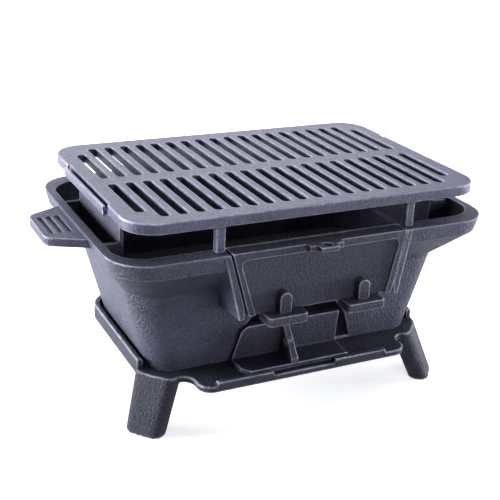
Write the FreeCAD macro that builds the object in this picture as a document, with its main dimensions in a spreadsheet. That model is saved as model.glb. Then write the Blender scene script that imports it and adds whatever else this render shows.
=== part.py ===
"""Cast-iron hibachi grill: a three-legged stand, a fire bowl with two doors, and two lift-out grates.

Millimetres.  Each piece is built about the middle of the bowl, and then all of them are placed together so
that the origin is on the ground in the middle of the whole grill.  +X runs to the right along the long side,
+Y to the back and +Z up.  The doors are on the front, -Y, side.
"""
import FreeCAD, Part
import math
import os
import re
import Sketcher

SIZES = {
    # how far joined shapes run into each other, and cutting shapes run past a face
    "bite": 1,
    # how far the middle of the bowl is behind the middle of the whole grill
    "bowl_middle_y": 10.5,
    # stand
    "tray_top": 57,
    "tray_thickness": 7,
    "tray_half_length": 168,
    "tray_half_depth": 101,
    "tray_corner": 36,
    "lip_height": 11,
    "lip_thickness": 6,
    "lip_front": 70,
    "shelf_half_length": 122,
    "shelf_front": 133,
    "shelf_corner": 15,
    "shelf_inside_corner": 12,
    "rib_height": 4,
    "rib_depth": 6,
    "rib_length": 63,
    "rib_gap": 72,
    "rib_gap_x": -6,
    "leg_width": 48,
    "leg_depth": 26,
    "leg_foot_width": 42,
    "leg_foot_depth": 24,
    "leg_wall": 6,
    "leg_corner": 11.5,
    "leg_splay": 26.5,
    "leg_x": 147.6,
    "leg_y": 80.1,
    "leg_turn": 50,
    "rear_leg_y": 91.5,
    # fire bowl: half lengths along X, half depths along Y, corner radii
    "foot_half_length": 156,
    "foot_half_depth": 88,
    "foot_corner": 28,
    "wall_height": 147,
    "wall_half_length": 181,
    "wall_half_depth": 98,
    "wall_corner": 36,
    "band_height": 184,
    "band_half_length": 207.5,
    "band_half_depth": 138,
    "rim_top": 200,
    "rim_half_length": 211,
    "rim_half_depth": 140,
    "rim_corner": 40,
    "skin": 4,
    "floor_thickness": 4,
    "cove_height": 149,
    "inner_band_height": 178,
    "inner_rim_half_length": 202,
    "inner_rim_half_depth": 120,
    "inner_rim_corner": 32,
    "groove_width": 2.6,
    "groove_depth": 2.2,
    "groove_y": 125,
    "groove_end": 176,
    # handles
    "handle_top": 198,
    "handle_thickness": 9,
    "handle_root": 206,
    "handle_tip": 248,
    "handle_root_half_width": 54,
    "handle_tip_half_width": 33,
    "handle_corner": 11,
    "grip_groove_pitch": 9,
    "grip_groove_width": 4.4,
    "grip_groove_depth": 3.6,
    "grip_groove_half_length": 24,
    # grate rests at the bowl's ends
    "rest_x": 180,
    "rest_thickness": 4,
    "rest_half_width": 66,
    "rest_corner": 18,
    "rest_top": 227.4,
    "rest_bottom": 152.5,
    "rest_flange_top": 197,
    "rest_flange_end": 204,
    "rest_flange_end_bottom": 177,
    # charcoal grate ledges
    "ledge_top": 112,
    "ledge_height": 9,
    "ledge_width": 24,
    "ledge_reach": 15,
    "ledge_inset_x": 13,
    "ledge_inset_y": 7,
    "ledge_x": 105,
    "ledge_y": 50,
    # doorway
    "doorway_bottom": 137,
    "doorway_half_bottom": 83,
    "doorway_half_top": 99.6,
    "cheek": 6.5,
    "housing_lower_front": 145.5,
    "housing_upper_front": 140,
    "housing_bottom_back": 126,
    "housing_bottom_front": 133,
    "sill_front": 123.8,
    "recess_half_length": 85.2,
    "recess_top": 144,
    # draft opening
    "draft_half_top": 47,
    "draft_half_shoulder": 62,
    "draft_half_bottom": 73,
    "draft_shoulder": 92,
    "draft_top": 110,
    # front door
    "hinge_y": -139.5,
    "hinge_z": 141,
    "trunnion_radius": 3.4,
    "trunnion_clearance": 0.1,
    "trunnion_end": 88,
    "trunnion_end_gap": 0.5,
    "trunnion_slot_height": 26,
    "door_bottom": 136,
    "door_top": 201,
    "door_half_bottom": 81.6,
    "door_half_top": 98,
    "door_thickness": 6,
    "door_lower_front": 147,
    "door_upper_front": 141,
    "door_ledge_back": 121,
    "door_ledge_thickness": 6,
    "door_frame": 8,
    "door_recess": 2.5,
    "panel_corner": 6,
    "boss_half_width": 19,
    "boss_front": 148,
    "boss_bottom": 195,
    "tab_half_width": 10.5,
    "tab_corner": 2.5,
    "tab_front": 156,
    "tab_bottom": 196,
    "tab_hole_radius": 5,
    "tab_hole_y": 148,
    "toe_x": 44.5,
    "toe_half_length": 21.5,
    "toe_front": 161,
    "toe_bottom": 127.5,
    "toe_corner": 4,
    "gusset_half_width": 6.5,
    "gusset_front": 153,
    "gusset_top": 158,
    # draft door
    "draft_door_left": -74,
    "draft_door_right": 51,
    "draft_door_slant": 11,
    "draft_door_top": 99,
    "draft_door_thickness": 6,
    "draft_door_corner": 11,
    "draft_door_gap": 0.6,
    "draft_foot_front": 125.5,
    "draft_foot_thickness": 5,
    "draft_foot_chamfer": 9,
    "draft_foot_taper": 2,
    "fin_x": -14,
    "fin_half_width": 4,
    "fin_top": 97,
    "fin_nose": 66,
    "fin_hole_radius": 4,
    "fin_hole_y": 109,
    "fin_hole_z": 78,
    # cooking grate
    "deck_half_length": 196,
    "deck_half_depth": 132.4,
    "deck_corner": 32,
    "deck_top": 237.5,
    "deck_thickness": 10,
    "skirt_height": 11.5,
    "skirt_width": 8,
    "slot_count": 18,
    "slot_pitch": 18.2,
    "slot_width": 9.4,
    "slot_inner_end": 9.3,
    "slot_outer_end": 113.4,
    "end_slot_outer_end": 96,
    "slot_roundness": 0.48,
    "post_x": 106.5,
    "post_y": 127,
    "post_width": 9.4,
    "notch_half_width": 66,
    "notch_depth": 2.5,
    "strip_half_width": 64,
    "strip_outside": 200,
    "strip_thickness": 3,
    "strip_top": 235.5,
    "strip_web_height": 3,
    # charcoal grate
    "coal_half_length": 160,
    "coal_half_depth": 84,
    "coal_corner": 24,
    "coal_thickness": 6,
    "coal_slot_count": 15,
    "coal_slot_pitch": 18,
    "coal_slot_width": 8,
    "coal_slot_inner_end": 6,
    "coal_slot_outer_end": 68,
    "coal_end_slot_outer_end": 62,
    # fasteners
    "bolt_x": 70,
    "bolt_radius": 4,
    "bolt_hole_radius": 4.5,
    "bolt_head_radius": 8.5,
    "bolt_head_height": 4.5,
    "bolt_head_trim": 0.2,
    "bolt_length": 32,
    "washer_radius": 9,
    "washer_hole_radius": 4.3,
    "washer_thickness": 1.6,
    "nut_radius": 6.5,
    "nut_height": 8,
    "nut_taper": 1.5,
    "nut_bore_radius": 4.05,
    "wing_root": 3.5,
    "wing_root_drop": 2,
    "wing_tip": 5,
    "wing_span": 17,
    "wing_height": 12,
    "wing_thickness": 3,
}

TOLERANCE = 0.1

doc = FreeCAD.newDocument("HibachiGrill")
sheet = doc.addObject("Spreadsheet::Sheet", "Sizes")
for row, (alias, size) in enumerate(SIZES.items(), start=1):
    sheet.set("A%d" % row, alias)
    sheet.set("B%d" % row, str(size))
    sheet.setAlias("B%d" % row, alias)
doc.recompute()


# ---------------------------------------------------------------- building blocks

def expression(text):
    """A size written with bare aliases, with each alias pointed at the sheet."""
    return re.sub(r"[a-z]\w*", lambda word: "Sizes." + word.group(), str(text))


def number(text):
    """What a size comes to in millimetres."""
    result = sheet.evalExpression(expression(text))
    return float(getattr(result, "Value", result))


def bind(obj, **sizes):
    """Ties properties to the sheet; Placement_x means Placement.Base.x."""
    for name, text in sizes.items():
        obj.setExpression(name.replace("Placement_", "Placement.Base."), expression(text))


def new_sketch(body, plane, offset):
    """A sketch on one of the body's own origin planes, moved along the plane's normal."""
    sketch = body.newObject("Sketcher::SketchObject", body.Name + "_sketch")
    planes = [part for part in body.Origin.OriginFeatures if part.Role == plane + "_Plane"]
    sketch.AttachmentSupport = (planes[0], [""])
    sketch.MapMode = "FlatFace"
    sketch.setExpression("AttachmentOffset.Base.z", expression(offset))
    return sketch


def fix_point(sketch, line, end, across, up):
    """Dimensions one end of a line from the sketch's origin."""
    for direction, text in (("DistanceX", across), ("DistanceY", up)):
        if text is None:
            continue
        constraint = Sketcher.Constraint(direction, -1, 1, line, end, number(text))
        index = sketch.addConstraint(constraint)
        sketch.setExpression("Constraints[%d]" % index, expression(text))


def draw_polygon(sketch, corners):
    """A closed outline through corners given as pairs of sizes."""
    points = [FreeCAD.Vector(number(across), number(up), 0) for across, up in corners]
    count = len(points)
    for index in range(count):
        sketch.addGeometry(Part.LineSegment(points[index], points[(index + 1) % count]), False)
    for index in range(count):
        sketch.addConstraint(Sketcher.Constraint("Coincident", index, 2, (index + 1) % count, 1))
        fix_point(sketch, index, 1, *corners[index])


def draw_rounded_rectangle(sketch, left, right, bottom, top, radius):
    """A rectangle with four equal corner arcs, all its sizes dimensioned."""
    x0, x1, y0, y1, r = (number(text) for text in (left, right, bottom, top, radius))
    sides = (
        ((x0 + r, y0), (x1 - r, y0)),
        ((x1, y0 + r), (x1, y1 - r)),
        ((x1 - r, y1), (x0 + r, y1)),
        ((x0, y1 - r), (x0, y0 + r)),
    )
    centres = ((x1 - r, y0 + r), (x1 - r, y1 - r), (x0 + r, y1 - r), (x0 + r, y0 + r))
    for start, finish in sides:
        line = Part.LineSegment(FreeCAD.Vector(*start, 0), FreeCAD.Vector(*finish, 0))
        sketch.addGeometry(line, False)
    for quarter, (x, y) in enumerate(centres, start=-1):
        circle = Part.Circle(FreeCAD.Vector(x, y, 0), FreeCAD.Vector(0, 0, 1), r)
        start = quarter * math.pi / 2
        sketch.addGeometry(Part.ArcOfCircle(circle, start, start + math.pi / 2), False)
    for index in range(4):
        arc = 4 + index
        sketch.addConstraint(Sketcher.Constraint("Tangent", index, 2, arc, 1))
        sketch.addConstraint(Sketcher.Constraint("Tangent", arc, 2, (index + 1) % 4, 1))
        sketch.addConstraint(Sketcher.Constraint("Horizontal" if index % 2 == 0 else "Vertical", index))
    for arc in (5, 6, 7):
        sketch.addConstraint(Sketcher.Constraint("Equal", 4, arc))
    fix_point(sketch, 0, 1, None, bottom)
    fix_point(sketch, 2, 1, None, top)
    fix_point(sketch, 1, 1, right, None)
    fix_point(sketch, 3, 1, left, None)
    index = sketch.addConstraint(Sketcher.Constraint("Radius", 4, r))
    sketch.setExpression("Constraints[%d]" % index, expression(radius))


def extruded(name, plane, outline, start, length):
    """A body padded from an outline.  XY runs upwards, XZ runs forwards (-Y) and YZ runs to the right.

    The outline is a list of corners, or five sizes: left, right, bottom, top and corner radius.
    """
    body = doc.addObject("PartDesign::Body", name)
    sketch = new_sketch(body, plane, start)
    if isinstance(outline, tuple):
        draw_rounded_rectangle(sketch, *outline)
    else:
        draw_polygon(sketch, outline)
    feature = body.newObject("PartDesign::Pad", name + "_pad")
    feature.Profile = sketch
    bind(feature, Length=length)
    body.Tip = feature
    return body


def tapered(name, sections):
    """A body lofted through rounded rectangles: half length, half depth, corner radius, height."""
    body = doc.addObject("PartDesign::Body", name)
    sketches = []
    for half_length, half_depth, radius, height in sections:
        sketch = new_sketch(body, "XY", height)
        draw_rounded_rectangle(sketch, "-(%s)" % half_length, half_length,
                               "-(%s)" % half_depth, half_depth, radius)
        sketches.append(sketch)
    feature = body.newObject("PartDesign::AdditiveLoft", name + "_loft")
    feature.Profile = sketches[0]
    feature.Sections = sketches[1:]
    feature.Ruled = True
    body.Tip = feature
    return body


def box(name, x, y, z, length, width, height):
    """A block from its lowest corner."""
    block = doc.addObject("Part::Box", name)
    bind(block, Length=length, Width=width, Height=height, Placement_x=x, Placement_y=y, Placement_z=z)
    return block


def cylinder(name, x, y, z, radius, length, direction=(0, 0, 1)):
    """A rod that starts at a point and runs along a direction."""
    rod = doc.addObject("Part::Cylinder", name)
    rod.Placement.Rotation = FreeCAD.Rotation(FreeCAD.Vector(0, 0, 1), FreeCAD.Vector(*direction))
    bind(rod, Radius=radius, Height=length, Placement_x=x, Placement_y=y, Placement_z=z)
    return rod


def mirrored(name, source, normal=(1, 0, 0)):
    """The other hand of a shape, across a plane through the origin."""
    image = doc.addObject("Part::Mirroring", name)
    image.Source = source
    image.Normal = FreeCAD.Vector(*normal)
    return image


def fused(name, shapes):
    result = doc.addObject("Part::MultiFuse", name)
    result.Shapes = shapes
    result.Refine = True
    return result


def common(name, shapes):
    result = doc.addObject("Part::MultiCommon", name)
    result.Shapes = shapes
    return result


def cut(name, base, tools):
    result = doc.addObject("Part::Cut", name)
    result.Base = base
    result.Tool = tools[0] if len(tools) == 1 else fused(name + "_tools", tools)
    result.Refine = True
    return result


def rounded_edges(name, base, radius, chosen):
    """Rounds the edges whose middle point passes a test."""
    doc.recompute()
    result = doc.addObject("Part::Fillet", name)
    result.Base = base
    size = number(radius)
    result.Edges = [(index, size, size) for index, edge in enumerate(base.Shape.Edges, start=1)
                    if chosen(edge)]
    return result


def is_upright(edge):
    """Whether a straight edge stands along Z."""
    first, last = edge.Vertexes[0].Point, edge.Vertexes[-1].Point
    level = math.hypot(first.x - last.x, first.y - last.y)
    return level < TOLERANCE < abs(first.z - last.z)


# ---------------------------------------------------------------- stand

def leg(name, x, y, turn):
    """A leg hollowed from below, that splays out to its foot and faces along its local +X."""
    body = doc.addObject("PartDesign::Body", name)
    underside = "tray_top - tray_thickness"
    for kind, wall, corner, top, foot in (
        ("AdditiveLoft", "0", "leg_corner", "tray_top", "0"),
        ("SubtractiveLoft", "leg_wall", "leg_corner / 3", underside, "-1"),
    ):
        sketches = []
        for width, depth, outwards, height in (
            ("leg_width", "leg_depth", "0", top),
            ("leg_foot_width", "leg_foot_depth", "leg_splay", foot),
        ):
            sketch = new_sketch(body, "XY", height)
            inner_side = "%s - %s / 2 - %s" % (outwards, depth, wall)
            outer_side = "%s + %s / 2 - %s" % (outwards, depth, wall)
            half_width = "%s / 2 - %s" % (width, wall)
            draw_rounded_rectangle(sketch, inner_side, outer_side, "-(%s)" % half_width, half_width, corner)
            sketches.append(sketch)
        feature = body.newObject("PartDesign::" + kind, name + "_" + kind)
        feature.Profile = sketches[0]
        feature.Sections = sketches[1:]
        feature.Ruled = True
    body.Tip = feature
    body.Placement.Rotation = FreeCAD.Rotation(FreeCAD.Vector(0, 0, 1), turn)
    bind(body, Placement_x=x, Placement_y=y)
    return body


def make_stand():
    """The tray with its lip, ash shelf and three legs; each front leg faces leg_turn away from the front."""
    floor_bottom = "tray_top - tray_thickness"
    outline = ("-tray_half_length", "tray_half_length", "-tray_half_depth", "tray_half_depth", "tray_corner")
    inner = ("-tray_half_length + lip_thickness", "tray_half_length - lip_thickness",
             "-tray_half_depth + lip_thickness", "tray_half_depth - lip_thickness",
             "tray_corner - lip_thickness")
    shelf_outline = ("-shelf_half_length", "shelf_half_length", "-shelf_front", "-tray_half_depth / 2",
                     "shelf_corner")
    tray = extruded("tray_floor", "XY", outline, floor_bottom, "tray_thickness")
    shelf = extruded("ash_shelf", "XY", shelf_outline, floor_bottom, "tray_thickness")
    corner_x, corner_y = number("shelf_half_length"), number("tray_half_depth")
    floor = rounded_edges("floor_rounded", fused("floor", [tray, shelf]), "shelf_inside_corner",
                          lambda edge: is_upright(edge)
                          and abs(abs(edge.CenterOfMass.x) - corner_x) < TOLERANCE
                          and abs(edge.CenterOfMass.y + corner_y) < TOLERANCE)
    lip_ring = cut("lip_ring", extruded("lip_outside", "XY", outline, "tray_top", "lip_height"),
                   [extruded("lip_inside", "XY", inner, "tray_top - bite", "lip_height + 2 * bite")])
    gap = box("lip_gap", "-tray_half_length - bite", "-tray_half_depth - bite", "tray_top - bite",
              "2 * (tray_half_length + bite)", "tray_half_depth - lip_front + bite",
              "lip_height + 2 * bite")
    ribs = [box("shelf_rib", x, "-shelf_front", "tray_top - bite", "rib_length", "rib_depth",
                "rib_height + bite")
            for x in ("rib_gap_x + rib_gap / 2", "rib_gap_x - rib_gap / 2 - rib_length")]
    turn = number("leg_turn")
    legs = [
        leg("left_leg", "-leg_x", "-leg_y", -90 - turn),
        leg("right_leg", "leg_x", "-leg_y", turn - 90),
        leg("rear_leg", "0", "rear_leg_y", 90),
    ]
    solid = fused("stand_solid", [floor, cut("lip", lip_ring, [gap])] + ribs + legs)
    holes = [cylinder("tray_bolt_hole", x, "0", floor_bottom + " - bite", "bolt_hole_radius",
                      "tray_thickness + 2 * bite")
             for x in ("-bolt_x", "bolt_x")]
    return cut("stand", solid, holes)


# ---------------------------------------------------------------- fire bowl

def bowl_shell():
    """The tapering wall, the cove above it, the rim band and the door's hood, hollowed for the fire."""
    outside = tapered("bowl_outside", [
        ("foot_half_length", "foot_half_depth", "foot_corner", "tray_top"),
        ("wall_half_length", "wall_half_depth", "wall_corner", "wall_height"),
        ("band_half_length", "band_half_depth", "rim_corner", "band_height"),
        ("rim_half_length", "rim_half_depth", "rim_corner", "rim_top"),
    ])
    inside = tapered("bowl_inside", [
        ("foot_half_length - skin", "foot_half_depth - skin", "foot_corner - skin",
         "tray_top + floor_thickness"),
        ("wall_half_length - skin", "wall_half_depth - skin", "wall_corner - skin", "cove_height"),
        ("inner_rim_half_length", "inner_rim_half_depth", "inner_rim_corner", "inner_band_height"),
        ("inner_rim_half_length", "inner_rim_half_depth", "inner_rim_corner", "rim_top + bite"),
    ])
    return cut("bowl_shell", fused("bowl_with_hood", [outside, doorway_housing()]), [inside])


def handle():
    """The flat right-hand grip, narrower at its tip, with three grooves across the top."""
    corners = [("handle_root", "-handle_root_half_width"), ("handle_tip", "-handle_tip_half_width"),
               ("handle_tip", "handle_tip_half_width"), ("handle_root", "handle_root_half_width")]
    plate = extruded("grip_plate", "XY", corners, "handle_top - handle_thickness", "handle_thickness")
    tip = number("handle_tip")
    rounded = rounded_edges("grip_rounded", plate, "handle_corner",
                            lambda edge: is_upright(edge) and abs(edge.CenterOfMass.x - tip) < TOLERANCE)
    grooves = [box("grip_groove", "handle_tip - %d * grip_groove_pitch - grip_groove_width / 2" % count,
                   "-grip_groove_half_length", "handle_top - grip_groove_depth",
                   "grip_groove_width", "2 * grip_groove_half_length", "grip_groove_depth + bite")
               for count in (1, 2, 3)]
    return cut("right_handle", rounded, grooves)


def grate_rest():
    """The right-hand plate that the cooking grate's end sits on, with a flange at each end of it."""
    half = "rest_half_width"
    corners = [("-" + half, "rest_bottom"), (half, "rest_bottom"), (half, "rest_top"),
               ("-" + half, "rest_top")]
    plate = extruded("rest_plate", "YZ", corners, "rest_x", "rest_thickness")
    top, side = number("rest_top"), number(half)
    rounded = rounded_edges("rest_rounded", plate, "rest_corner",
                            lambda edge: abs(edge.CenterOfMass.z - top) < TOLERANCE
                            and abs(abs(edge.CenterOfMass.y) - side) < TOLERANCE)
    flange = [("rest_x", "rest_bottom"), ("rest_flange_end", "rest_flange_end_bottom"),
              ("rest_flange_end", "rest_flange_top"), ("rest_x", "rest_flange_top")]
    front = extruded("rest_flange", "XZ", flange, "rest_half_width - rest_thickness", "rest_thickness")
    return fused("right_rest", [rounded, front, mirrored("rest_back_flange", front, (0, 1, 0))])


def trapezoid(name, half_bottom, half_top, bottom, top, start):
    """An upright block, wider at the top, that runs forwards from a depth to well past the front."""
    corners = [("-(%s)" % half_bottom, bottom), (half_bottom, bottom), (half_top, top),
               ("-(%s)" % half_top, top)]
    return extruded(name, "XZ", corners, start, "rim_half_depth")


def doorway_housing():
    """The hood around the front door: two cheeks, and a sloping underside with the sill on top of it."""
    profile = [("-wall_half_depth + skin", "housing_bottom_back"), ("-wall_half_depth + skin", "rim_top"),
               ("-housing_upper_front", "rim_top"), ("-housing_lower_front", "housing_bottom_front")]
    side = extruded("housing_side", "YZ", profile, "-rim_half_length", "2 * rim_half_length")
    face = trapezoid("housing_face", "doorway_half_bottom + cheek", "doorway_half_top + cheek",
                     "housing_bottom_back", "rim_top", "wall_half_depth - skin")
    return common("housing", [side, face])


def doorway():
    """The space cut for the door above the sill, and the wider recess that its lower edge turns in."""
    opening = trapezoid("doorway_opening", "doorway_half_bottom", "doorway_half_top",
                        "doorway_bottom", "rim_top + bite", "wall_half_depth - 3 * skin")
    below = box("sill_recess", "-recess_half_length", "-housing_lower_front - bite",
                "housing_bottom_back - bite", "2 * recess_half_length",
                "housing_lower_front + bite - sill_front", "recess_top - housing_bottom_back + bite")
    return [opening, below]


def trunnion_seats():
    """Blind seats in the cheeks, open upwards so that the door lifts out."""
    radius = "(trunnion_radius + trunnion_clearance)"
    reach = "trunnion_end + trunnion_end_gap"
    seat = cylinder("trunnion_seat", "0", "hinge_y", "hinge_z", radius, reach, (1, 0, 0))
    slot = box("trunnion_slot", "0", "hinge_y - " + radius, "hinge_z", reach, "2 * " + radius,
               "trunnion_slot_height")
    right = fused("right_seat", [seat, slot])
    return [right, mirrored("left_seat", right)]


def draft_opening():
    half = [("draft_half_bottom", "tray_top + floor_thickness"), ("draft_half_shoulder", "draft_shoulder"),
            ("draft_half_top", "draft_top")]
    corners = half + [("-" + across, up) for across, up in reversed(half)]
    return extruded("draft_opening", "XZ", corners, "foot_half_depth - 3 * skin", "foot_half_depth")


def coal_ledges():
    """Eight ledges inside the wall that carry the charcoal grate, two on each side."""
    ledges = []
    bottom = "ledge_top - ledge_height"
    for along in (-1, 1):
        for y in ("-wall_half_depth + ledge_inset_y", "wall_half_depth - ledge_inset_y - ledge_reach"):
            ledges.append(box("side_ledge", "%d * ledge_x - ledge_width / 2" % along, y, bottom,
                              "ledge_width", "ledge_reach", "ledge_height"))
        for x in ("-wall_half_length + ledge_inset_x", "wall_half_length - ledge_inset_x - ledge_reach"):
            ledges.append(box("end_ledge", x, "%d * ledge_y - ledge_width / 2" % along, bottom,
                              "ledge_reach", "ledge_width", "ledge_height"))
    return ledges


def rim_grooves():
    """The narrow line along the front and back of the rim, just behind its outer band."""
    return [box("rim_groove", "-groove_end", "%d * groove_y - groove_width / 2" % side,
                "rim_top - groove_depth", "2 * groove_end", "groove_width", "groove_depth + bite")
            for side in (-1, 1)]


def make_firebowl():
    right_handle = handle()
    right_rest = grate_rest()
    shapes = [bowl_shell(), right_handle, mirrored("left_handle", right_handle),
              right_rest, mirrored("left_rest", right_rest)]
    solid = fused("bowl_solid", shapes + coal_ledges())
    holes = [cylinder("bowl_bolt_hole", x, "0", "tray_top - bite", "bolt_hole_radius",
                      "floor_thickness + 2 * bite")
             for x in ("-bolt_x", "bolt_x")]
    return cut("firebowl", solid, doorway() + trunnion_seats() + [draft_opening()] + rim_grooves() + holes)


# ---------------------------------------------------------------- doors

def door_plate():
    """The leaning plate with its level ledge, cut to the doorway's shape, and the sunk panel on its front."""
    everywhere = ("-rim_half_length", "2 * rim_half_length")
    profile = [
        ("-door_lower_front", "door_bottom"), ("-door_upper_front", "door_top"),
        ("-door_ledge_back", "door_top"), ("-door_ledge_back", "door_top - door_ledge_thickness"),
        ("-door_upper_front + door_thickness", "door_top - door_ledge_thickness"),
        ("-door_lower_front + door_thickness", "door_bottom"),
    ]
    panel_top = "door_top - door_frame"
    panel_profile = [
        ("-door_lower_front - bite", "door_bottom - bite"),
        ("-door_lower_front + door_recess", "door_bottom - bite"),
        ("-door_upper_front + door_recess", panel_top),
        ("-door_upper_front - bite", panel_top),
    ]
    side = extruded("door_side", "YZ", profile, *everywhere)
    face = trapezoid("door_face", "door_half_bottom", "door_half_top", "door_bottom", "door_top",
                     "wall_half_depth")
    panel_side = extruded("panel_side", "YZ", panel_profile, *everywhere)
    panel_face = trapezoid("panel_face", "door_half_bottom - door_frame", "door_half_top - door_frame",
                           "door_bottom - bite", panel_top, "wall_half_depth")
    groove = box("door_groove", "-door_half_top - bite", "-groove_y - groove_width / 2",
                 "door_top - groove_depth", "2 * door_half_top + 2 * bite", "groove_width",
                 "groove_depth + bite")
    corner_x, corner_z = number("door_half_top - door_frame"), number(panel_top)
    panel_rounded = rounded_edges("panel_rounded", panel_face, "panel_corner",
                                  lambda edge: abs(abs(edge.CenterOfMass.x) - corner_x) < TOLERANCE
                                  and abs(edge.CenterOfMass.z - corner_z) < TOLERANCE)
    panel = common("sunk_panel", [panel_side, panel_rounded])
    return cut("door_plate", common("door_blank", [side, face]), [panel, groove])


def door_toe():
    """One of the two toes under the door, with the round-topped gusset above it."""
    outline = ("toe_x - toe_half_length", "toe_x + toe_half_length", "-toe_front",
               "hinge_y + trunnion_radius", "toe_corner")
    toe = extruded("toe", "XY", outline, "toe_bottom", "door_bottom + bite - toe_bottom")
    crown_z = "gusset_top - gusset_half_width"
    depth = "gusset_front - door_lower_front + door_thickness"
    stem = box("gusset_stem", "toe_x - gusset_half_width", "-gusset_front", "door_bottom",
               "2 * gusset_half_width", depth, crown_z + " - door_bottom")
    crown = cylinder("gusset_crown", "toe_x", "-gusset_front", crown_z, "gusset_half_width", depth, (0, 1, 0))
    return fused("right_toe", [toe, stem, crown])


def make_front_door():
    """The flip-down door: plate, finger tab on its boss, trunnions low on its back edge, and two toes."""
    back = "-door_upper_front + door_thickness / 2"
    boss = box("tab_boss", "-boss_half_width", "-boss_front", "boss_bottom", "2 * boss_half_width",
               "boss_front - door_upper_front + door_thickness / 2", "door_top - boss_bottom")
    tab = extruded("tab", "XY", ("-tab_half_width", "tab_half_width", "-tab_front", back, "tab_corner"),
                   "tab_bottom", "door_top - tab_bottom")
    trunnions = cylinder("trunnions", "-trunnion_end", "hinge_y", "hinge_z", "trunnion_radius",
                         "2 * trunnion_end", (1, 0, 0))
    toe = door_toe()
    solid = fused("front_door_solid", [door_plate(), boss, tab, trunnions, toe, mirrored("left_toe", toe)])
    hole = cylinder("tab_hole", "0", "-tab_hole_y", "boss_bottom - bite", "tab_hole_radius",
                    "door_top - boss_bottom + 2 * bite")
    return cut("front_door", solid, [hole])


def make_draft_door():
    """The sliding L-shaped draft door: an upright panel, a foot on the ash shelf and a finger fin."""
    bottom = "tray_top"
    back = "foot_half_depth + draft_door_gap"
    front = back + " + draft_door_thickness"
    lean = "(wall_half_depth - foot_half_depth) / (wall_height - tray_top) * (draft_door_top - tray_top)"
    profile = [("-(%s)" % back, bottom), ("-(%s)" % front, bottom),
               ("-(%s + %s)" % (front, lean), "draft_door_top"),
               ("-(%s + %s)" % (back, lean), "draft_door_top")]
    side = extruded("draft_side", "YZ", profile, "draft_door_left", "draft_door_right - draft_door_left")
    corners = [("draft_door_left", bottom), ("draft_door_right", bottom),
               ("draft_door_right", "draft_door_top"),
               ("draft_door_left + draft_door_slant", "draft_door_top")]
    face = extruded("draft_face", "XZ", corners, "0", "rim_half_depth")
    corner_x, corner_z = number("draft_door_left + draft_door_slant"), number("draft_door_top")
    rounded = rounded_edges("draft_face_rounded", face, "draft_door_corner",
                            lambda edge: abs(edge.CenterOfMass.x - corner_x) < TOLERANCE
                            and abs(edge.CenterOfMass.z - corner_z) < TOLERANCE)
    foot = extruded("draft_foot", "XY", [
        ("draft_door_left", "-(%s)" % back),
        ("draft_door_left + draft_foot_taper", "-draft_foot_front + draft_foot_chamfer"),
        ("draft_door_left + draft_foot_chamfer", "-draft_foot_front"),
        ("draft_door_right - draft_foot_taper", "-draft_foot_front"), ("draft_door_right", "-(%s)" % back),
    ], bottom, "draft_foot_thickness")
    fin = extruded("fin", "YZ", [
        ("-(%s) - bite" % back, bottom), ("-draft_foot_front + bite", bottom),
        ("-draft_foot_front + bite", "fin_nose"), ("-(%s + %s)" % (front, lean), "fin_top"),
        ("-(%s + %s)" % (back, lean), "fin_top"),
    ], "fin_x - fin_half_width", "2 * fin_half_width")
    hole = cylinder("fin_hole", "fin_x - fin_half_width - bite", "-fin_hole_y", "fin_hole_z",
                    "fin_hole_radius", "2 * (fin_half_width + bite)", (1, 0, 0))
    solid = fused("draft_door_solid", [common("draft_panel", [side, rounded]), foot, fin])
    return cut("draft_door", solid, [hole])


# ---------------------------------------------------------------- grates

def slot_pocket(body, name, top, left_side, width, inner_end, outer_end):
    """One slot cut through a plate in front of its middle, with its ends almost half round."""
    sketch = new_sketch(body, "XY", top)
    draw_rounded_rectangle(sketch, left_side, "%s + %s" % (left_side, width), "-(%s)" % outer_end,
                           "-(%s)" % inner_end, "slot_roundness * " + width)
    pocket = body.newObject("PartDesign::Pocket", name)
    pocket.Profile = sketch
    pocket.Type = "ThroughAll"
    return pocket, sketch


def repeated(body, pocket, steps):
    """The pocket repeated by each pattern step in turn, as the body's last feature."""
    spread = body.newObject("PartDesign::MultiTransform", pocket.Name + "_pattern")
    spread.Originals = [pocket]
    for step in steps:
        body.addObject(step)
    spread.Transformations = steps
    body.Tip = spread


def mirror_step(body, role):
    planes = [part for part in body.Origin.OriginFeatures if part.Role == role]
    step = doc.addObject("PartDesign::Mirrored", "mirror_step")
    step.MirrorPlane = (planes[0], [""])
    return step


def slotted_plate(name, outline, bottom, thickness, prefix, end_outer):
    """A plate with two rows of slots that run front to back, and a shorter slot at each end of a row.

    The slots' own sizes are the ones in the sheet that start with the prefix.
    """
    body = extruded(name, "XY", outline, bottom, thickness)
    top = "%s + %s" % (bottom, thickness)
    count, pitch, width = prefix + "slot_count", prefix + "slot_pitch", prefix + "slot_width"
    inner_end, outer_end = prefix + "slot_inner_end", prefix + "slot_outer_end"
    first_left = "-(%s - 1) / 2 * %s - %s / 2" % (count, pitch, width)
    pocket, sketch = slot_pocket(body, name + "_slot", top, first_left, width, inner_end, outer_end)
    line = doc.addObject("PartDesign::LinearPattern", name + "_line")
    line.Direction = (sketch, ["H_Axis"])
    bind(line, Length="(%s - 1) * %s" % (count, pitch), Occurrences=count)
    repeated(body, pocket, [line, mirror_step(body, "XZ_Plane")])
    end_left = "%s - %s" % (first_left, pitch)
    pocket, sketch = slot_pocket(body, name + "_end_slot", top, end_left, width, inner_end, end_outer)
    repeated(body, pocket, [mirror_step(body, "YZ_Plane"), mirror_step(body, "XZ_Plane")])
    return body


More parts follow.
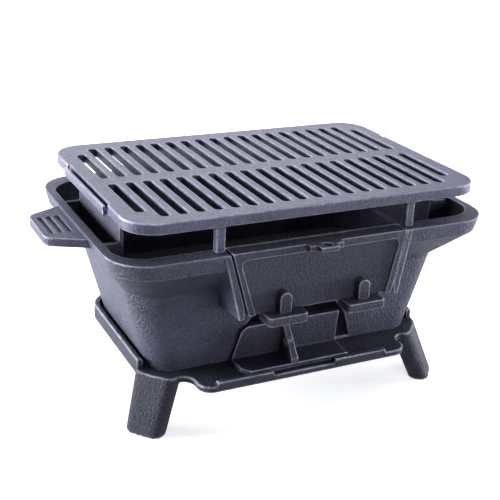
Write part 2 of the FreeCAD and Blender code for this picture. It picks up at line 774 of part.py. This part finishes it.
def end_strip():
    """The low strip beyond the right-hand end of the deck, joined to it by a web."""
    bottom = "deck_top - skirt_height"
    inside = "deck_half_length - notch_depth - bite"
    web = box("strip_web", inside, "-strip_half_width", bottom, "strip_outside - (%s)" % inside,
              "2 * strip_half_width", "strip_web_height")
    wall = box("strip_wall", "strip_outside - strip_thickness", "-strip_half_width", bottom,
               "strip_thickness", "2 * strip_half_width", "strip_top - (%s)" % bottom)
    return fused("right_strip", [web, wall])


def make_cooking_grate():
    """The slotted deck with a skirt round its edge, four posts that stand on the rim, and two end strips."""
    outline = ("-deck_half_length", "deck_half_length", "-deck_half_depth", "deck_half_depth", "deck_corner")
    inner = ("-deck_half_length + skirt_width", "deck_half_length - skirt_width",
             "-deck_half_depth + skirt_width", "deck_half_depth - skirt_width", "deck_corner - skirt_width")
    skirt_bottom = "deck_top - skirt_height"
    deck = slotted_plate("deck", outline, "deck_top - deck_thickness", "deck_thickness", "",
                         "end_slot_outer_end")
    skirt = cut("skirt", extruded("skirt_outside", "XY", outline, skirt_bottom, "skirt_height - bite"),
                [extruded("skirt_inside", "XY", inner, skirt_bottom + " - bite", "skirt_height + bite")])
    posts = [box("post", "%d * post_x - post_width / 2" % x, "%d * post_y - post_width / 2" % y, "rim_top",
                 "post_width", "post_width", "deck_top - deck_thickness - rim_top + bite")
             for x in (-1, 1) for y in (-1, 1)]
    notches = [box("end_notch", x, "-notch_half_width", skirt_bottom + " - bite", "notch_depth + bite",
                   "2 * notch_half_width", "skirt_height + 2 * bite")
               for x in ("-deck_half_length - bite", "deck_half_length - notch_depth")]
    plate = cut("cooking_plate", fused("cooking_plate_solid", [deck, skirt] + posts), notches)
    strip = end_strip()
    return fused("cooking_grate", [plate, strip, mirrored("left_strip", strip)])


def make_charcoal_grate():
    outline = ("-coal_half_length", "coal_half_length", "-coal_half_depth", "coal_half_depth", "coal_corner")
    return slotted_plate("charcoal_grate", outline, "ledge_top", "coal_thickness", "coal_",
                         "coal_end_slot_outer_end")


# ---------------------------------------------------------------- fasteners

def pair(name, make_one):
    """The same fastener at both bolt places, as separate solids."""
    result = doc.addObject("Part::Compound", name)
    result.Links = [make_one(x) for x in ("-bolt_x", "bolt_x")]
    return result


def bolt(x):
    """A round-headed bolt, its head resting on the fire bowl's floor."""
    base = "tray_top + floor_thickness"
    shank = cylinder("bolt_shank", x, "0", base + " + bite - bolt_length", "bolt_radius", "bolt_length")
    sphere = "(bolt_head_radius ^ 2 + bolt_head_height ^ 2) / (2 * bolt_head_height)"
    dome = doc.addObject("Part::Sphere", "bolt_dome")
    bind(dome, Radius=sphere, Placement_x=x, Placement_z="%s + bolt_head_height - %s" % (base, sphere))
    blank = cylinder("bolt_head_blank", x, "0", base, "bolt_head_radius - bolt_head_trim",
                     "bolt_head_height + bite")
    return fused("bolt", [shank, common("bolt_head", [dome, blank])])


def washer(x):
    bottom = "tray_top - tray_thickness - washer_thickness"
    disc = cylinder("washer_disc", x, "0", bottom, "washer_radius", "washer_thickness")
    hole = cylinder("washer_hole", x, "0", bottom + " - bite", "washer_hole_radius",
                    "washer_thickness + 2 * bite")
    return cut("washer", disc, [hole])


def wing_nut(x):
    """A tapered hub under the washer, with two wings that spread downwards."""
    top = "tray_top - tray_thickness - washer_thickness"
    hub = doc.addObject("Part::Cone", "wing_nut_hub")
    bind(hub, Radius1="nut_radius - nut_taper", Radius2="nut_radius", Height="nut_height", Placement_x=x,
         Placement_z="%s - nut_height" % top)
    outline = [("wing_root", "%s - wing_root_drop" % top), ("wing_span", "%s - wing_tip" % top),
               ("wing_span", "%s - wing_height" % top), ("wing_span - wing_tip", "%s - wing_height" % top),
               ("wing_root", "%s - nut_height" % top)]
    wing = extruded("wing", "XZ", outline, "-wing_thickness / 2", "wing_thickness")
    wings = doc.addObject("Part::Compound", "wings")
    wings.Links = [wing, mirrored("other_wing", wing)]
    bind(wings, Placement_x=x)
    hole = cylinder("nut_hole", x, "0", "%s - wing_height" % top, "nut_bore_radius", "wing_height + bite")
    return cut("wing_nut", fused("wing_nut_solid", [hub, wings]), [hole])


# ---------------------------------------------------------------- the grill

def make_grill():
    """Every separate piece, by the name of its file."""
    return {
        "stand": make_stand(),
        "firebowl": make_firebowl(),
        "cooking_grate": make_cooking_grate(),
        "charcoal_grate": make_charcoal_grate(),
        "front_door": make_front_door(),
        "draft_door": make_draft_door(),
        "bowl_bolts": pair("bowl_bolts", bolt),
        "bolt_washers": pair("bolt_washers", washer),
        "wing_nuts": pair("wing_nuts", wing_nut),
    }


def check_and_write(pieces):
    """Places every piece, stops on any failed feature or bad shape, then writes one file per piece."""
    for piece in pieces.values():
        bind(piece, Placement_y="bowl_middle_y")
    doc.recompute()
    for obj in doc.Objects:
        if "Invalid" in obj.State or "Error" in obj.State:
            raise RuntimeError("%s failed: %s" % (obj.Name, obj.State))
    os.makedirs("parts", exist_ok=True)
    for name, piece in pieces.items():
        piece.Label = name
        shape = piece.Shape
        if shape.isNull() or not shape.isValid():
            raise RuntimeError("%s has a bad shape" % name)
        shape.exportStep("parts/%s.step" % name)
        print(name, len(shape.Solids), "solid(s)", round(shape.Volume / 1000, 1), "cm3")


check_and_write(make_grill())
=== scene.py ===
"""The looks of a cast-iron hibachi grill: soft cast edges, seasoned iron, zinc bolts, studio and camera.

Metres, in the frame's own axes: +X right, +Y back, +Z up, with the doors on the -Y side.
"""
import math

import bpy
from mathutils import Matrix, Vector


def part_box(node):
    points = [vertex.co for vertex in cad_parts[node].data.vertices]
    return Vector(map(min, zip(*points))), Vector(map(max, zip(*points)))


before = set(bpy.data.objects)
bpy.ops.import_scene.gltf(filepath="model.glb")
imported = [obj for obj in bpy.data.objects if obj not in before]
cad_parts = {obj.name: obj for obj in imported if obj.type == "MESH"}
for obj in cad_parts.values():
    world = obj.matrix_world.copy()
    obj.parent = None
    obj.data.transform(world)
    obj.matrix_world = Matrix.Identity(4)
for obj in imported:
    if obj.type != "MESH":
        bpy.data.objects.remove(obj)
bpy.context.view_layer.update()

MM = 0.001

# How each casting's skin is rebuilt: voxel size in millimetres, smoothing passes, and most triangles kept.
SKINS = {
    "stand": (1.1, 4, 190000),
    "firebowl": (1.0, 3, 195000),
    "cooking_grate": (0.9, 4, 195000),
    "charcoal_grate": (1.5, 3, 90000),
    "front_door": (0.7, 4, 150000),
    "draft_door": (0.7, 4, 120000),
    "bowl_bolts": (0.35, 2, 30000),
    "bolt_washers": (0.35, 2, 12000),
    "wing_nuts": (0.35, 3, 24000),
}
SOFTENING = 0.5

# The irons: colour, colour of the edges (wear with a painted highlight), roughness, strength of the grain,
# and soot from 0 to 1.
# Lighter edge colour: partly bare worn iron, partly a painted highlight along the edges.
WORN_AND_HIGHLIT_EDGE = (0.42, 0.42, 0.50)
SOOTY_EDGE = (0.08, 0.08, 0.09)
IRONS = {
    "bowl_iron": ((0.060, 0.060, 0.088), WORN_AND_HIGHLIT_EDGE, 0.48, 1.2, 0.0),
    # The stand's and the doors' irons are darker than the bowl's as painted shade on the low, shaded parts.
    "stand_iron": ((0.032, 0.032, 0.046), WORN_AND_HIGHLIT_EDGE, 0.54, 1.3, 0.0),
    "door_iron": ((0.036, 0.036, 0.052), WORN_AND_HIGHLIT_EDGE, 0.50, 1.0, 0.0),
    "grate_iron": ((0.066, 0.066, 0.098), WORN_AND_HIGHLIT_EDGE, 0.40, 0.6, 0.0),
    "coal_grate_iron": ((0.03, 0.03, 0.035), SOOTY_EDGE, 0.70, 0.7, 1.0),
}
NODE_IRONS = {
    "firebowl": "bowl_iron",
    "stand": "stand_iron",
    "front_door": "door_iron",
    "draft_door": "door_iron",
    "cooking_grate": "grate_iron",
    "charcoal_grate": "coal_grate_iron",
}
STEEL_NODES = ("bowl_bolts", "bolt_washers", "wing_nuts")
DARK_ZINC = (0.34, 0.34, 0.36)
LIGHT_ZINC = (0.5, 0.5, 0.51)
IRON_METALLIC = 0.35
GRAIN_HEIGHT = 1.7 * MM

# Noise scales, in cells per metre.
PATCH_SCALE = 14
MOTTLE_SCALE = 120
PEEL_SCALE = 380
ZINC_SCALE = 500
PIT_SCALE = 900

# The pointiness at which an edge starts to take its wear and painted highlight, and at which they are full.
WEAR_AND_HIGHLIGHT_FROM = 0.508
WEAR_AND_HIGHLIGHT_TO = 0.55

# The floor: its half width, its two shades, and the glow that keeps its far end white.
FLOOR_HALF = 6.0
FLOOR_SHADE = (0.9, 0.9, 0.9)
FLOOR_THROWN_SHADE = (0.2, 0.2, 0.21)
NEAR_GLOW = 0.5
FAR_GLOW = 1.0
GLOW_FROM = 0.6
GLOW_TO = 2.5

WORLD_SHADE = (1.0, 1.0, 1.0)
WORLD_THROWN_SHADE = (0.095, 0.10, 0.118)
LAMP_COLOUR = (0.93, 0.945, 1.0)

# The soft boxes: place, width, height and watts.  All of them face one point of the grill.
LAMPS_FACE = (0.0, 0.0, 0.15)
LAMPS = {
    "left_key": ((-1.9, 0.9, 0.35), 1.4, 0.9, 108),
    "overhead": ((0.1, 0.4, 1.9), 2.0, 1.4, 34),
    "back_sheet": ((0.5, 2.1, 1.1), 2.6, 0.9, 27),
    "right_fill": ((2.0, -0.2, 0.3), 1.0, 0.6, 34),
    "front_fill": ((0.3, -2.2, 0.6), 1.4, 0.6, 24),
}

# The camera, in degrees and metres from the middle of the deck's top; the lens is in millimetres.
CAMERA_AZIMUTH = -26.94
CAMERA_ELEVATION = 22.16
CAMERA_ROLL = 2.66
CAMERA_DISTANCE = 1.0736
CAMERA_ACROSS = 0.0125
CAMERA_DOWN = 0.09215
CAMERA_LENS = 71.53
CAMERA_NEAREST = 0.05


# ---------------------------------------------------------------- castings

def add_skin(name, voxel, passes, most_triangles):
    """Rebuilds a node's surface finely, softens its edges like a sand casting's, and thins its mesh."""
    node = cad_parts[name]
    coarse = 1
    remesh = node.modifiers.new("skin", "REMESH")
    remesh.mode = "VOXEL"
    remesh.voxel_size = voxel * MM * coarse
    remesh.use_smooth_shade = True
    soften = node.modifiers.new("soften", "SMOOTH")
    soften.factor = SOFTENING
    soften.iterations = passes
    triangles_now = 2 * count_faces(node)
    if triangles_now > most_triangles:
        thin = node.modifiers.new("thin", "DECIMATE")
        thin.ratio = most_triangles / triangles_now


def count_faces(node):
    """How many quads a node's modifiers give it."""
    graph = bpy.context.evaluated_depsgraph_get()
    return len(node.evaluated_get(graph).data.polygons)


# ---------------------------------------------------------------- materials

def new_material(name):
    material = bpy.data.materials.new(name)
    material.use_nodes = True
    return material, material.node_tree, material.node_tree.nodes["Principled BSDF"]


def add_noise(tree, place, scale, detail, roughness=0.5):
    noise = tree.nodes.new("ShaderNodeTexNoise")
    noise.inputs["Scale"].default_value = scale
    noise.inputs["Detail"].default_value = detail
    noise.inputs["Roughness"].default_value = roughness
    tree.links.new(place, noise.inputs["Vector"])
    return noise.outputs["Fac"]


def remap(tree, value, low, high, to_low, to_high):
    """The value's stretch from low to high, carried to to_low and to_high and held there."""
    node = tree.nodes.new("ShaderNodeMapRange")
    for socket, number in zip(node.inputs[1:5], (low, high, to_low, to_high)):
        socket.default_value = number
    tree.links.new(value, node.inputs["Value"])
    return node.outputs["Result"]


def combine(tree, operation, first, second):
    """A maths node on two sockets or numbers."""
    node = tree.nodes.new("ShaderNodeMath")
    node.operation = operation
    for socket, value in zip(node.inputs, (first, second)):
        if isinstance(value, (int, float)):
            socket.default_value = value
        else:
            tree.links.new(value, socket)
    return node.outputs["Value"]


def blend_colours(tree, factor, first, second):
    """One colour turning into another; each is a colour or a socket."""
    node = tree.nodes.new("ShaderNodeMix")
    node.data_type = "RGBA"
    tree.links.new(factor, node.inputs["Factor"])
    for socket, colour in ((node.inputs["A"], first), (node.inputs["B"], second)):
        if isinstance(colour, tuple):
            socket.default_value = colour + (1.0,)
        else:
            tree.links.new(colour, socket)
    return node.outputs["Result"]


def scaled(colour, factor):
    return tuple(factor * channel for channel in colour)


def seasoned_iron(name, colour, wear_and_highlight_colour, roughness, grain, soot):
    """Sand-cast iron under baked-on oil: pitted grain, uneven sheen, and lighter, smoother edges, partly
    worn and partly a painted highlight.
    """
    material, tree, surface = new_material(name)
    place = tree.nodes.new("ShaderNodeTexCoord").outputs["Object"]
    patches = add_noise(tree, place, PATCH_SCALE, 4, 0.6)
    mottle = add_noise(tree, place, MOTTLE_SCALE, 3)
    peel = add_noise(tree, place, PEEL_SCALE, 3, 0.6)
    pits = add_noise(tree, place, PIT_SCALE, 2)
    pointiness = tree.nodes.new("ShaderNodeNewGeometry").outputs["Pointiness"]
    # The edge mask lightens sharp edges: partly wear, partly a painted highlight.
    wear_and_highlight = combine(tree, "MULTIPLY", remap(tree, pointiness, WEAR_AND_HIGHLIGHT_FROM, WEAR_AND_HIGHLIGHT_TO, 0.0, 1.0),
                   remap(tree, mottle, 0.3, 0.6, 0.45, 1.0))
    patched = remap(tree, patches, 0.35, 0.65, 0.0, 1.0)
    body = blend_colours(tree, patched, scaled(colour, 0.72), scaled(colour, 1.3))
    specks = remap(tree, peel, 0.45, 0.72, 0.0, 0.6)
    speckled = blend_colours(tree, specks, body, scaled(colour, 2.2))
    finish = blend_colours(tree, wear_and_highlight, speckled, wear_and_highlight_colour)
    tree.links.new(finish, surface.inputs["Base Color"])
    uneven = combine(tree, "ADD", remap(tree, patches, 0.3, 0.7, roughness - 0.05, roughness + 0.06),
                     remap(tree, mottle, 0.3, 0.7, -0.04, 0.05))
    polished = combine(tree, "SUBTRACT", uneven, combine(tree, "MULTIPLY", wear_and_highlight, 0.1))
    tree.links.new(polished, surface.inputs["Roughness"])
    surface.inputs["Metallic"].default_value = IRON_METALLIC
    surface.inputs["Specular IOR Level"].default_value = 0.6 - 0.4 * soot
    height = combine(tree, "ADD", peel, combine(tree, "MULTIPLY", pits, 0.6))
    bump = tree.nodes.new("ShaderNodeBump")
    bump.inputs["Strength"].default_value = grain
    bump.inputs["Distance"].default_value = GRAIN_HEIGHT
    tree.links.new(height, bump.inputs["Height"])
    tree.links.new(bump.outputs["Normal"], surface.inputs["Normal"])
    return material


def zinc_steel(name):
    """Dull zinc plate with a faint crystalline mottle."""
    material, tree, surface = new_material(name)
    place = tree.nodes.new("ShaderNodeTexCoord").outputs["Object"]
    mottle = add_noise(tree, place, ZINC_SCALE, 3)
    crystals = remap(tree, mottle, 0.35, 0.65, 0.0, 1.0)
    colour = blend_colours(tree, crystals, DARK_ZINC, LIGHT_ZINC)
    tree.links.new(colour, surface.inputs["Base Color"])
    tree.links.new(remap(tree, mottle, 0.3, 0.7, 0.32, 0.5), surface.inputs["Roughness"])
    surface.inputs["Metallic"].default_value = 1.0
    return material


def give_material(name, material):
    """Puts one material over the whole of a node."""
    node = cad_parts[name]
    if not node.material_slots:
        node.data.materials.append(material)
    for place in node.material_slots:
        place.material = material


def paint_everything():
    irons = {name: seasoned_iron(name, *finish) for name, finish in IRONS.items()}
    for node, iron in NODE_IRONS.items():
        give_material(node, irons[iron])
    steel = zinc_steel("bolt_steel")
    for node in STEEL_NODES:
        give_material(node, steel)


# ---------------------------------------------------------------- studio

def make_floor():
    """A wide pale floor under the feet: near white when seen or mirrored, grey in the light it throws up."""
    half = FLOOR_HALF
    corners = [(-half, -half, 0), (half, -half, 0), (half, half, 0), (-half, half, 0)]
    mesh = bpy.data.meshes.new("floor")
    mesh.from_pydata(corners, [], [(0, 1, 2, 3)])
    floor = bpy.data.objects.new("floor", mesh)
    bpy.context.scene.collection.objects.link(floor)
    material, tree, surface = new_material("floor_paint")
    rays = tree.nodes.new("ShaderNodeLightPath").outputs
    seen = rays["Is Camera Ray"]
    thrown = rays["Is Diffuse Ray"]
    shade = blend_colours(tree, thrown, FLOOR_SHADE, FLOOR_THROWN_SHADE)
    tree.links.new(shade, surface.inputs["Base Color"])
    surface.inputs["Emission Color"].default_value = (1, 1, 1, 1)
    position = tree.nodes.new("ShaderNodeNewGeometry").outputs["Position"]
    reach = tree.nodes.new("ShaderNodeVectorMath")
    reach.operation = "LENGTH"
    tree.links.new(position, reach.inputs[0])
    glow = remap(tree, reach.outputs["Value"], GLOW_FROM, GLOW_TO, NEAR_GLOW, FAR_GLOW)
    tree.links.new(combine(tree, "MULTIPLY", seen, glow), surface.inputs["Emission Strength"])
    surface.inputs["Roughness"].default_value = 0.9
    surface.inputs["Specular IOR Level"].default_value = 0.0
    mesh.materials.append(material)


def make_world():
    """A white surround for the camera, and a dimmer one for the light it throws on the iron."""
    world = bpy.data.worlds.new("studio")
    world.use_nodes = True
    tree = world.node_tree
    background = tree.nodes["Background"]
    seen = tree.nodes.new("ShaderNodeLightPath").outputs["Is Camera Ray"]
    shade = blend_colours(tree, seen, WORLD_THROWN_SHADE, WORLD_SHADE)
    tree.links.new(shade, background.inputs["Color"])
    bpy.context.scene.world = world


def add_softbox(name, place, width, height, watts):
    """A rectangular lamp that faces the grill."""
    lamp = bpy.data.lights.new(name, "AREA")
    lamp.shape = "RECTANGLE"
    lamp.size = width
    lamp.size_y = height
    lamp.energy = watts
    lamp.color = LAMP_COLOUR
    holder = bpy.data.objects.new(name, lamp)
    holder.location = place
    direction = Vector(LAMPS_FACE) - Vector(place)
    holder.rotation_euler = direction.to_track_quat("-Z", "Y").to_euler()
    bpy.context.scene.collection.objects.link(holder)


def make_camera():
    """The camera looks down at the deck from the front left, a little rolled."""
    lowest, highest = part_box("cooking_grate")
    middle = Vector(((lowest.x + highest.x) / 2, (lowest.y + highest.y) / 2, highest.z))
    azimuth = math.radians(CAMERA_AZIMUTH)
    elevation = math.radians(CAMERA_ELEVATION)
    roll = math.radians(CAMERA_ROLL)
    back = Vector((math.sin(azimuth) * math.cos(elevation), -math.cos(azimuth) * math.cos(elevation),
                   math.sin(elevation)))
    level = Vector((math.cos(azimuth), math.sin(azimuth), 0.0))
    upright = back.cross(level)
    right = level * math.cos(roll) + upright * math.sin(roll)
    up = upright * math.cos(roll) - level * math.sin(roll)
    camera = bpy.data.objects.new("camera", bpy.data.cameras.new("camera"))
    camera.data.lens = CAMERA_LENS
    camera.data.clip_start = CAMERA_NEAREST
    place = middle + back * CAMERA_DISTANCE - right * CAMERA_ACROSS - up * CAMERA_DOWN
    axes = Matrix((right, up, back)).transposed().to_4x4()
    camera.matrix_world = Matrix.Translation(place) @ axes
    bpy.context.scene.collection.objects.link(camera)
    bpy.context.scene.camera = camera


for node_name, (voxel_mm, smoothing, triangles) in SKINS.items():
    add_skin(node_name, voxel_mm, smoothing, triangles)
paint_everything()
make_floor()
make_world()
for lamp_name, (lamp_place, lamp_width, lamp_height, lamp_watts) in LAMPS.items():
    add_softbox(lamp_name, lamp_place, lamp_width, lamp_height, lamp_watts)
make_camera()
bpy.context.scene.view_settings.view_transform = "Standard"
bpy.context.scene.view_settings.look = "Medium High Contrast"
